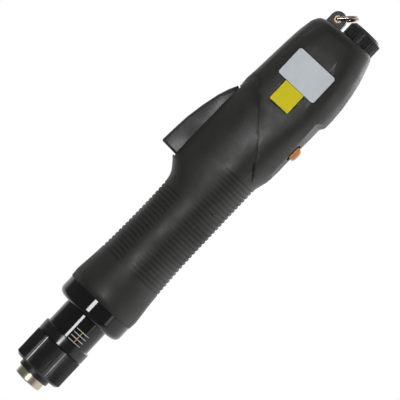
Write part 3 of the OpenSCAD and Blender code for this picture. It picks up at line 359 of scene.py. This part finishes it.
@dataclass(frozen=True)
class Finish:
    """One finish: its colour, gloss and fine relief.

    Depth is in metres. Painted groove shade is the share of sheen that's left deep in narrow
    grooves and creases, where an occlusion node paints shade.
    """

    slot: str
    colour: Colour
    roughness: float
    metallic: float = 0.0
    specular: float = 0.5
    coat: float = 0.0
    surface: Surface = Surface.MOULDED
    fineness: float = 2600.0
    depth: float = 0.00002
    handling: float = 0.15
    tint: float = 0.12
    painted_groove_shade: float = 1.0

    def build(self, effects: EffectLibrary, name: str) -> bpy.types.Material:
        """Makes the material.

        Args:
            effects: The shared node groups.
            name: The material's name.

        Returns:
            The material.
        """
        material = bpy.data.materials.new(name)
        material.use_nodes = True
        graph = Graph(material.node_tree)
        shader = material.node_tree.nodes["Principled BSDF"]
        shader.inputs["Metallic"].default_value = self.metallic
        shader.inputs["Specular IOR Level"].default_value = self.specular
        shader.inputs["Coat Weight"].default_value = self.coat
        shader.inputs["Coat Roughness"].default_value = 0.06
        relief = self._relief(effects, graph)
        graph.put(shader.inputs["Normal"], relief.outputs["Normal"])
        marks = effects.use(graph, Effect.HANDLING, amount=self.handling)
        rough = graph.math("ADD", marks.outputs["Shift"], self.roughness)
        rough = graph.math("ADD", graph.math("MULTIPLY", marks.outputs["Specks"], 0.8), rough)
        graph.put(shader.inputs["Roughness"], graph.ramp(rough, 0.03, 1.0, (0.03, 1.0)))
        graph.put(shader.inputs["Base Color"], self._colour(graph, marks.outputs["Shift"]))
        # Painted shade: an occlusion node lowers the sheen in grooves and creases, where shade
        # falls.
        if self.painted_groove_shade < 1.0:
            shade_occlusion = graph.add("AmbientOcclusion", samples=8)
            graph.put(shade_occlusion.inputs["Distance"], PAINTED_SHADE_REACH)
            painted_shade_sheen = graph.ramp(shade_occlusion.outputs["AO"], 0.6, 1.0, (self.painted_groove_shade, 1.0))
            graph.put(
                shader.inputs["Specular IOR Level"], graph.math("MULTIPLY", painted_shade_sheen, self.specular)
            )
        return material

    def _relief(self, effects: EffectLibrary, graph: Graph) -> bpy.types.Node:
        """Puts the finish's relief group into the graph and returns its node."""
        if self.surface is Surface.MOULDED:
            return effects.use(graph, Effect.GRAIN, fineness=self.fineness, depth=self.depth)
        return effects.use(graph, self.surface.value, depth=self.depth)

    def _colour(self, graph: Graph, shift: bpy.types.NodeSocket) -> bpy.types.NodeSocket:
        """Varies the colour a little with the handling marks.

        Args:
            graph: The material's graph.
            shift: The marks' shift.

        Returns:
            Socket with the colour.
        """
        mix = graph.add("MixRGB", blend_type="MIX")
        darker = tuple(c * (1 - self.tint) for c in self.colour)
        lighter = tuple(min(1.0, c * (1 + self.tint)) for c in self.colour)
        graph.put(mix.inputs["Color1"], (*darker, 1.0))
        graph.put(mix.inputs["Color2"], (*lighter, 1.0))
        spread = max(self.handling, 0.01)
        graph.put(mix.inputs["Fac"], graph.ramp(shift, -spread, spread, (0.0, 1.0)))
        return mix.outputs["Color"]


class Finishes(Enum):
    """Every finish on the tool."""

    # The shell's sheen drops to 5 % deep in its grooves and creases: painted shade.
    SHELL = Finish(
        "shell_black", (0.013, 0.0135, 0.011), 0.52, specular=0.75, fineness=1500.0, depth=0.00005,
        painted_groove_shade=0.05
    )
    GLOSS = Finish("gloss_black", (0.004, 0.004, 0.0045), 0.07, depth=0.000002, handling=0.03)
    COLLAR = Finish(
        "collar_black", (0.008, 0.008, 0.009), 0.28, coat=0.1, surface=Surface.TURNED, depth=0.00001
    )
    BUSH = Finish("bush_black", (0.012, 0.012, 0.012), 0.36)
    NICKEL = Finish(
        "chuck_nickel", (0.52, 0.48, 0.36), 0.3, 1.0, surface=Surface.TURNED, depth=0.00001,
        handling=0.05
    )
    STEEL = Finish("steel", (0.56, 0.56, 0.57), 0.28, 1.0, surface=Surface.TURNED, depth=0.00001)
    DARK_STEEL = Finish(
        "dark_steel", (0.16, 0.16, 0.17), 0.4, 1.0, surface=Surface.TURNED, depth=0.00001
    )
    SPRING = Finish("spring_steel", (0.6, 0.6, 0.62), 0.25, 1.0, depth=0.000004)
    BRONZE = Finish("bronze", (0.55, 0.3, 0.12), 0.35, 1.0, surface=Surface.TURNED, depth=0.00001)
    COPPER = Finish("copper", (0.62, 0.24, 0.08), 0.3, 1.0, surface=Surface.TURNED, depth=0.00006)
    MAGNET = Finish("magnet", (0.05, 0.05, 0.055), 0.45, 1.0)
    CAST = Finish("cap_metal", (0.45, 0.45, 0.47), 0.5, 1.0, fineness=1800.0)
    BOARD = Finish("board_green", (0.012, 0.11, 0.035), 0.3, coat=0.3, depth=0.000006)
    PARTS = Finish("part_black", (0.02, 0.02, 0.021), 0.45)
    PLUNGER = Finish("plunger_red", (0.5, 0.04, 0.02), 0.35)
    LEVER = Finish("lever_grey", (0.035, 0.037, 0.036), 0.38, fineness=2200.0, depth=0.00003)
    KNOB = Finish("knob_orange", (0.85, 0.31, 0.05), 0.4, handling=0.06, tint=0.08)
    SILVER = Finish(
        "plate_silver", (0.64, 0.69, 0.72), 0.42, 0.1, surface=Surface.BRUSHED, depth=0.000004,
        handling=0.05
    )
    YELLOW = Finish(
        "plate_yellow", (0.95, 0.82, 0.007), 0.5, specular=0.2, handling=0.04, tint=0.05,
        depth=0.000004
    )
    GOLD = Finish("contact_gold", (0.83, 0.6, 0.2), 0.2, 1.0, depth=0.000004)
    EYELET = Finish("eyelet_metal", (0.45, 0.36, 0.25), 0.4, 1.0, depth=0.000006, handling=0.05)
    BAIL = Finish("bail_metal", (0.6, 0.5, 0.42), 0.22, 1.0, depth=0.000006, handling=0.06)
    SOCKET = Finish("socket_black", (0.018, 0.018, 0.02), 0.4)
    INK_WHITE = Finish("gloss_black", (0.78, 0.78, 0.74), 0.5, depth=0.000003, handling=0.05)
    INK_YELLOW = Finish("gloss_black", (0.72, 0.6, 0.3), 0.5, depth=0.000003, handling=0.05)


class Paint:
    """Keeps one material for each finish."""

    def __init__(self) -> None:
        """Starts with no materials."""
        self.effects = EffectLibrary()
        self._made: dict[Finishes, bpy.types.Material] = {}

    def material(self, finish: Finishes) -> bpy.types.Material:
        """Gives the finish's material, made at its first use."""
        if finish not in self._made:
            self._made[finish] = finish.value.build(self.effects, finish.name.lower())
        return self._made[finish]


# ---------- Pieces ----------


@dataclass
class SubAssembly:
    """Part of the tool that dresses its own nodes."""

    frame: dict[str, Any]
    paint: Paint
    made: list[bpy.types.Object] = field(default_factory=list)

    def body_of(self, node: str) -> str:
        """Names the body that a node belongs to."""
        bodies = self.frame["record"]["behaviour"]["bodies"]
        return next(body for body, members in bodies.items() if node in members)

    def coat(self, finish: Finishes, *nodes: str) -> None:
        """Gives nodes a finish and leaves their shape.

        Args:
            finish: Which finish.
            nodes: Names of the nodes.
        """
        for node in nodes:
            for slot in self.frame["nodes"][node].material_slots:
                slot.material = self.paint.material(finish)

    def soften(
        self, node: str, finish: Finishes, crease: float = 35.0, edge: float = 0.0
    ) -> bpy.types.Object:
        """Replaces a node by a merged copy with smooth faces and, if asked, rounded edges.

        Args:
            node: Name of the node.
            finish: Which finish.
            crease: Angle in degrees past which an edge stays sharp.
            edge: Width in millimetres of the rounding along sharp edges.

        Returns:
            The new piece.
        """
        shape = bmesh.new()
        shape.from_mesh(self.frame["nodes"][node].data)
        bmesh.ops.remove_doubles(shape, verts=shape.verts, dist=WELD)
        if edge:
            bmesh.ops.dissolve_limit(
                shape, angle_limit=math.radians(FLAT_DEGREES), verts=shape.verts, edges=shape.edges
            )
        return self._stand_in(shape, node, finish, crease, edge)

    def turn(
        self, node: str, finish: Finishes, crease: float = 30.0, edge: float = 0.0, steps: int = 128
    ) -> bpy.types.Object:
        """Replaces a round node by its own profile, turned about the axis with more steps.

        Args:
            node: Name of the node, round about the tool's axis.
            finish: Which finish.
            crease: Angle in degrees past which an edge stays sharp.
            edge: Width in millimetres of the rounding along sharp edges.
            steps: Faces round the axis.

        Returns:
            The new piece.
        """
        shape = bmesh.new()
        shape.from_mesh(self.frame["nodes"][node].data)
        bmesh.ops.remove_doubles(shape, verts=shape.verts, dist=WELD)
        everything = shape.verts[:] + shape.edges[:] + shape.faces[:]
        bmesh.ops.bisect_plane(
            shape,
            geom=everything,
            dist=ON_PLANE,
            plane_co=(0.0, 0.0, 0.0),
            plane_no=(0.0, 1.0, 0.0),
            clear_inner=True,
            clear_outer=True,
        )
        bmesh.ops.delete(shape, geom=[v for v in shape.verts if v.co.x < 0], context="VERTS")
        bmesh.ops.remove_doubles(shape, verts=shape.verts, dist=WELD)
        bmesh.ops.spin(
            shape,
            geom=shape.verts[:] + shape.edges[:],
            cent=(0.0, 0.0, 0.0),
            axis=(0.0, 0.0, 1.0),
            angle=math.tau,
            steps=steps,
            use_merge=True,
        )
        bmesh.ops.remove_doubles(shape, verts=shape.verts, dist=WELD)
        bmesh.ops.recalc_face_normals(shape, faces=shape.faces)
        return self._stand_in(shape, node, finish, crease, edge)

    def _stand_in(
        self, shape: bmesh.types.BMesh, node: str, finish: Finishes, crease: float, edge: float
    ) -> bpy.types.Object:
        """Puts a shape in a node's place and rounds its edges if asked."""
        piece = self.place(shape, node + "_skin", finish, self.body_of(node), crease)
        if edge:
            bevel = piece.modifiers.new("edge", "BEVEL")
            bevel.width = edge * MM
            bevel.segments = ROUND_STEPS
            bevel.limit_method = "ANGLE"
            bevel.angle_limit = math.radians(crease)
        flat = piece.modifiers.new("flat", "WEIGHTED_NORMAL")
        flat.mode = "FACE_AREA"
        flat.weight = LARGE_FACE_WEIGHT
        flat.keep_sharp = True
        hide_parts(node)
        return piece

    def place(
        self, shape: bmesh.types.BMesh, name: str, finish: Finishes, body: str, crease: float = 35.0
    ) -> bpy.types.Object:
        """Makes an object of a bmesh and lets it ride on a body.

        Args:
            shape: The bmesh, freed here.
            name: The piece's name.
            finish: Which finish.
            body: Name of the body.
            crease: Angle in degrees past which an edge stays sharp.

        Returns:
            The new piece.
        """
        mesh = bpy.data.meshes.new(name)
        for face in shape.faces:
            face.smooth = True
            face.material_index = 0
        shape.to_mesh(mesh)
        shape.free()
        mesh.materials.append(self.paint.material(finish))
        mesh.set_sharp_from_angle(angle=math.radians(crease))
        piece = bpy.data.objects.new(name, mesh)
        bpy.context.scene.collection.objects.link(piece)
        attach(piece, body)
        self.made.append(piece)
        return piece

    def dress(self) -> None:
        """Dresses the sub-assembly's nodes and adds its pieces."""
        raise NotImplementedError


@dataclass
class Nose(SubAssembly):
    """Chuck, collar, scale sleeve and coupling ring, with the printed scale."""

    mark_count: int = 4
    mark_pitch: float = 2.45
    mark_width: float = 0.42
    mark_height_over_ring: float = 0.35
    mark_from: float = 9.0
    mark_to: float = 46.0
    index_at: float = 26.0
    index_half: float = 0.9
    index_below: float = 0.1
    index_above: float = 0.4
    ink: float = 0.02
    bar_steps: int = 16

    def dress(self) -> None:
        """Dresses the nose and prints its scale."""
        self.turn("coupling_ring", Finishes.GLOSS, 30.0, 0.15)
        self.turn("scale_sleeve", Finishes.GLOSS, 30.0, 0.1)
        self.soften("torque_collar", Finishes.COLLAR, 12.0)
        self.soften("lock_ring", Finishes.COLLAR, 30.0, 0.1)
        self.turn("nose_bush", Finishes.BUSH, 30.0)
        self.turn("chuck_sleeve", Finishes.NICKEL, 30.0, 0.15)
        self.soften("output_spindle", Finishes.STEEL, 30.0)
        self.coat(Finishes.DARK_STEEL, "spindle_clips")
        self.coat(Finishes.STEEL, "chuck_balls")
        self.coat(Finishes.SPRING, "chuck_spring")
        self._print_scale()

    def _print_scale(self) -> None:
        """Prints the level marks and their upright index line on the scale sleeve."""
        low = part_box("lock_ring")[1].z / MM
        radius = self._sleeve_radius() + self.ink
        marks = bmesh.new()
        for k in range(self.mark_count):
            height = low + self.mark_height_over_ring + k * self.mark_pitch
            self._bar(
                marks, radius, (self.mark_from, self.mark_to), (height, height + self.mark_width)
            )
        self.place(marks, "scale_marks", Finishes.INK_WHITE, "root")
        index = bmesh.new()
        top = low + self.mark_height_over_ring + (self.mark_count - 1) * self.mark_pitch
        turn = (self.index_at - self.index_half, self.index_at + self.index_half)
        heights = (low + self.index_below, top + self.mark_width + self.index_above)
        self._bar(index, radius + self.ink, turn, heights)
        self.place(index, "scale_index", Finishes.INK_YELLOW, "root")

    def _sleeve_radius(self) -> float:
        """Radius of the scale sleeve above the collar, in millimetres."""
        ring_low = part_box("coupling_ring")[0].z
        return max(
            Vector((v.co.x, v.co.y)).length / MM
            for v in self.frame["nodes"]["scale_sleeve"].data.vertices
            if v.co.z < ring_low + 2 * MM
        )

    def _bar(
        self,
        shape: bmesh.types.BMesh,
        radius: float,
        turn: tuple[float, float],
        heights: tuple[float, float],
    ) -> None:
        """Adds a thin bar that lies on a cylinder round the axis.

        Args:
            shape: The bmesh that gets the bar.
            radius: Radius in millimetres.
            turn: The bar's two ends in degrees from the label side towards the switch side.
            heights: Its lower and upper edge in millimetres.
        """
        grid = bmesh.ops.create_grid(shape, x_segments=self.bar_steps, y_segments=1, size=0.5)
        for vert in grid["verts"]:
            angle = math.radians(turn[0] + (vert.co.x + 0.5) * (turn[1] - turn[0]))
            height = heights[0] + (vert.co.y + 0.5) * (heights[1] - heights[0])
            vert.co = Vector((radius * math.sin(angle), -radius * math.cos(angle), height)) * MM


@dataclass
class Shell(SubAssembly):
    """The two halves of the housing, their screws and the two plates."""

    def dress(self) -> None:
        """Dresses the housing."""
        self.soften("housing_front", Finishes.SHELL, 20.0)
        self.soften("housing_back", Finishes.SHELL, 20.0)
        self.coat(Finishes.DARK_STEEL, "housing_screws")
        self.soften("nameplate", Finishes.SILVER, 30.0, 0.1)
        self.soften("accent_plate", Finishes.YELLOW, 30.0, 0.08)


@dataclass
class Controls(SubAssembly):
    """Start lever, reverse knob and their switches."""

    def dress(self) -> None:
        """Dresses the controls."""
        self.soften("lever", Finishes.LEVER, 30.0)
        self.soften("reverse_knob", Finishes.KNOB, 30.0, 0.3)
        self.coat(Finishes.PARTS, "start_switch", "reverse_switch")
        self.coat(Finishes.PLUNGER, "start_plunger")
        self.coat(Finishes.STEEL, "lever_pin")
        self.coat(Finishes.SPRING, "lever_spring")


@dataclass
class Top(SubAssembly):
    """Cable inlet and hanger."""

    def dress(self) -> None:
        """Dresses the top of the tool."""
        self.soften("connector_ring", Finishes.BUSH, 20.0)
        self.coat(Finishes.SOCKET, "inlet_body")
        self.coat(Finishes.GOLD, "inlet_contacts")
        self.soften("hanger_lug", Finishes.BUSH, 35.0, 0.5)
        self.soften("hanger_eyelet", Finishes.EYELET, 35.0, 0.08)
        self.soften("hanger_bail", Finishes.BAIL, 40.0)


@dataclass
class Works(SubAssembly):
    """Clutch, gears, motor and board inside the housing."""

    def dress(self) -> None:
        """Dresses what the housing hides."""
        self.coat(Finishes.STEEL, "spring_seat", "clutch_cam", "clutch_balls", "drive_plate")
        self.coat(Finishes.STEEL, "spindle_bearing", "planet_carrier", "planet_pins", "sun_gear")
        self.coat(Finishes.STEEL, "motor_shaft", "motor_bearings")
        self.coat(Finishes.STEEL, *(f"planet_gear_{k}" for k in (1, 2, 3)))
        self.coat(Finishes.BRONZE, "spindle_bush")
        self.coat(Finishes.SPRING, "clutch_spring")
        self.coat(Finishes.DARK_STEEL, "ring_gear", "motor_can", "motor_stator")
        self.coat(Finishes.CAST, "gear_cover", "motor_end_cap")
        self.coat(Finishes.COPPER, "motor_windings")
        self.coat(Finishes.MAGNET, "motor_rotor")
        self.coat(Finishes.BOARD, "controller_board")
        self.coat(Finishes.PARTS, "board_parts")


# ---------- Studio ----------


@dataclass(frozen=True)
class Lamp:
    """A soft box that looks at the tool's middle.

    Angles are in degrees, and azimuth counts from the label side towards the switch side.
    Distance, width and height are in metres, power in watts.
    """

    name: str
    azimuth: float
    elevation: float
    away: float
    size: tuple[float, float]
    power: float


LAMPS = (
    Lamp("key", -3.0, -12.0, 1.6, (0.3, 0.85), 14.5),
    Lamp("side", 66.0, 10.0, 1.5, (0.25, 0.9), 1.0),
    Lamp("far_side", -75.0, 25.0, 1.5, (0.25, 0.9), 1.2),
    Lamp("back", 170.0, 30.0, 1.5, (0.8, 0.8), 8.0),
)


@dataclass
class Studio:
    """Camera, lights, floor and background."""

    low: Vector
    high: Vector
    azimuth: float = 7.4
    roll: float = 43.2
    distance: float = 2.0
    frame_width_share: float = 0.811
    aim_share: float = 0.5085
    aim_aside: float = 0.0015
    white_from: float = 157.0
    sky: float = 0.21
    lens_width: float = 36.0
    floor_reach: float = 6.0
    floor_drop: float = 0.6
    floor_white: float = 0.8

    def __post_init__(self) -> None:
        """Works out the tool's length and where the camera aims."""
        self.length = self.high.z - self.low.z
        self.aim = Vector((0.0, 0.0, self.low.z + self.aim_share * self.length))

    def build(self) -> None:
        """Makes the whole studio."""
        self._camera()
        self._world()
        self._floor()
        for lamp in LAMPS:
            self._lamp(lamp)

    def _direction(self, azimuth: float, elevation: float) -> Vector:
        """Direction from the tool, azimuth counted from the label side towards the switch side."""
        turn, rise = math.radians(azimuth), math.radians(elevation)
        return Vector(
            (math.sin(turn) * math.cos(rise), -math.cos(turn) * math.cos(rise), math.sin(rise))
        )

    def _camera(self) -> None:
        """Puts the camera level with the tool, rolled so that the tool lies aslant."""
        back = self._direction(self.azimuth, 0.0)
        aside = Vector(
            (math.cos(math.radians(self.azimuth)), math.sin(math.radians(self.azimuth)), 0.0)
        )
        up = Vector((0.0, 0.0, 1.0))
        lean = math.radians(self.roll)
        right_axis = aside * math.cos(lean) + up * math.sin(lean)
        up_axis = up * math.cos(lean) - aside * math.sin(lean)
        data = bpy.data.cameras.new("camera")
        data.sensor_width = self.lens_width
        data.lens = self.lens_width * self.distance / (self.frame_width_share * self.length)
        data.clip_start, data.clip_end = 0.05, 20.0
        camera = bpy.data.objects.new("camera", data)
        turn = Matrix((right_axis, up_axis, back)).transposed().to_4x4()
        place = self.aim + aside * self.aim_aside + back * self.distance
        camera.matrix_world = Matrix.Translation(place) @ turn
        bpy.context.scene.collection.objects.link(camera)
        bpy.context.scene.camera = camera

    def _world(self) -> None:
        """Grey light all round, with white where the camera and gloss look past the tool."""
        world = bpy.data.worlds.new("studio")
        world.use_nodes = True
        bpy.context.scene.world = world
        graph = Graph(world.node_tree)
        sky = world.node_tree.nodes["Background"]
        graph.put(sky.inputs["Color"], (1.0, 1.0, 1.0, 1.0))
        path = graph.add("LightPath")
        place = graph.add("TexCoord")
        facing = graph.add("VectorMath", operation="DOT_PRODUCT")
        graph.put(facing.inputs[0], place.outputs["Generated"])
        graph.put(facing.inputs[1], tuple(self._direction(self.white_from, 0.0)))
        behind = graph.ramp(facing.outputs["Value"], -0.05, 0.25, (0.2, 1.0))
        sky_light = graph.math(
            "MULTIPLY", graph.math("SUBTRACT", 1.0, path.outputs["Is Glossy Ray"]), self.sky
        )
        seen = graph.math(
            "MAXIMUM", path.outputs["Is Glossy Ray"], path.outputs["Is Transmission Ray"]
        )
        mirrored = graph.math("MULTIPLY", seen, behind)
        direct = graph.math("MAXIMUM", path.outputs["Is Camera Ray"], mirrored)
        graph.put(sky.inputs["Strength"], graph.math("MAXIMUM", direct, sky_light))

    def _floor(self) -> None:
        """Pale floor below the hanging tool, white to the camera but for a faint shadow."""
        shape = bmesh.new()
        bmesh.ops.create_circle(
            shape, cap_ends=True, segments=96, radius=self.floor_reach * self.length
        )
        mesh = bpy.data.meshes.new("floor")
        bmesh.ops.translate(
            shape, verts=shape.verts, vec=(0.0, 0.0, self.low.z - self.floor_drop * self.length)
        )
        shape.to_mesh(mesh)
        shape.free()
        floor = bpy.data.objects.new("floor", mesh)
        bpy.context.scene.collection.objects.link(floor)
        floor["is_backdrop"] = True
        mesh.materials.append(self._floor_material())
        floor.visible_glossy = False

    def _floor_material(self) -> bpy.types.Material:
        """Pale matte floor that shows mostly white, and is clear from below."""
        material = bpy.data.materials.new("floor")
        material.use_nodes = True
        graph = Graph(material.node_tree)
        tree = material.node_tree
        matte = tree.nodes["Principled BSDF"]
        matte.inputs["Base Color"].default_value = (0.9, 0.9, 0.9, 1.0)
        matte.inputs["Roughness"].default_value = 0.9
        matte.inputs["Specular IOR Level"].default_value = 0.1
        white = graph.add("Emission")
        mix = graph.add("MixShader")
        path = graph.add("LightPath")
        graph.put(
            mix.inputs[0], graph.math("MULTIPLY", path.outputs["Is Camera Ray"], self.floor_white)
        )
        graph.put(mix.inputs[1], matte.outputs[0])
        graph.put(mix.inputs[2], white.outputs[0])
        clear = graph.add("BsdfTransparent")
        sides = graph.add("MixShader")
        graph.put(sides.inputs[0], graph.add("NewGeometry").outputs["Backfacing"])
        graph.put(sides.inputs[1], mix.outputs[0])
        graph.put(sides.inputs[2], clear.outputs[0])
        graph.put(tree.nodes["Material Output"].inputs["Surface"], sides.outputs[0])
        return material

    def _lamp(self, lamp: Lamp) -> None:
        """Adds one lamp."""
        data = bpy.data.lights.new(lamp.name, "AREA")
        data.shape = "RECTANGLE"
        data.size, data.size_y = lamp.size
        data.energy = lamp.power
        box = bpy.data.objects.new(lamp.name, data)
        back = self._direction(lamp.azimuth, lamp.elevation)
        box.rotation_mode = "QUATERNION"
        box.rotation_quaternion = (-back).to_track_quat("-Z", "Y")
        box.location = self.aim + back * lamp.away
        bpy.context.scene.collection.objects.link(box)


def clear_scene() -> None:
    """Empties the starting scene."""
    for item in list(bpy.data.objects):
        bpy.data.objects.remove(item)


def main() -> None:
    """Loads the frame, dresses each sub-assembly and builds the studio."""
    logging.basicConfig(level=logging.INFO, format="%(name)s: %(message)s")
    clear_scene()
    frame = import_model()
    solid_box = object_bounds()
    bpy.context.scene.view_settings.view_transform = "Standard"
    paint = Paint()
    for part in (Nose, Shell, Controls, Top, Works):
        assembly = part(frame, paint)
        assembly.dress()
        for piece in assembly.made:
            LOG.info("%s: %s, %d faces", part.__name__, piece.name, len(piece.data.polygons))
    Studio(*solid_box).build()


if __name__ == "__main__":
    main()
